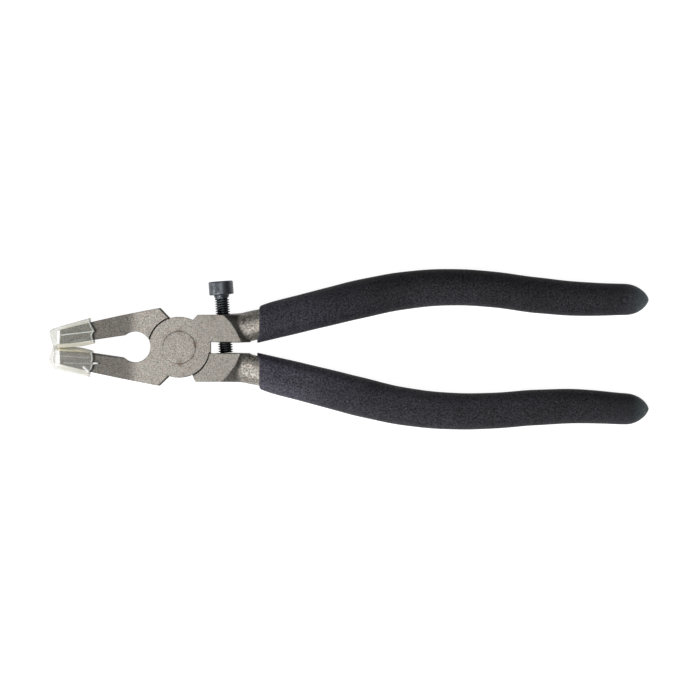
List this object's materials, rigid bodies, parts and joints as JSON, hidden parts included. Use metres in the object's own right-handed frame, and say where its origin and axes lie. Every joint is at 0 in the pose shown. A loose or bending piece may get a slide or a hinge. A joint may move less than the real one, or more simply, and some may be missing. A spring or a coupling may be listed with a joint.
{
  "type": "running pliers",
  "caption": "Glass-running pliers with flared jaws in clear soft covers, one flush pivot, a socket-head stop screw through the upper tang and dipped grips.",
  "frame": {"origin": "on the pivot's axis, in the flat back face of the joint", "axes": "+X along the tool from the jaws to the handles, +Y across it towards the stop screw's head, +Z along the pivot from the back face to the front face"},
  "size_m": [0.2028, 0.0543, 0.0275],
  "materials": {
    "front_lever_steel": "matte",
    "rear_lever_steel": "matte",
    "rivet_steel": "matte",
    "screw_black_oxide": "satin",
    "clear_vinyl": "gloss",
    "dipped_grip": "matte"
  },
  "bodies": {
    "front_half": {"front_lever": "front_lever_steel", "pivot_rivet": "rivet_steel", "upper_grip": "dipped_grip", "lower_jaw_cover": "clear_vinyl"},
    "rear_half": {"rear_lever": "rear_lever_steel", "lower_grip": "dipped_grip", "upper_jaw_cover": "clear_vinyl"},
    "stop_screw": {"adjusting_screw": "screw_black_oxide"}
  },
  "joints": [
    {"name": "lever_pivot", "type": "hinge", "parent": "front_half", "child": "rear_half", "pos_m": [0, 0, 0.006], "axis": [0, 0, -1], "range_deg": [0, 43]},
    {"name": "screw_travel", "type": "slide", "parent": "front_half", "child": "stop_screw", "axis": [-0.075, 0.9972, 0], "range_m": [0, 0.008]}
  ]
}
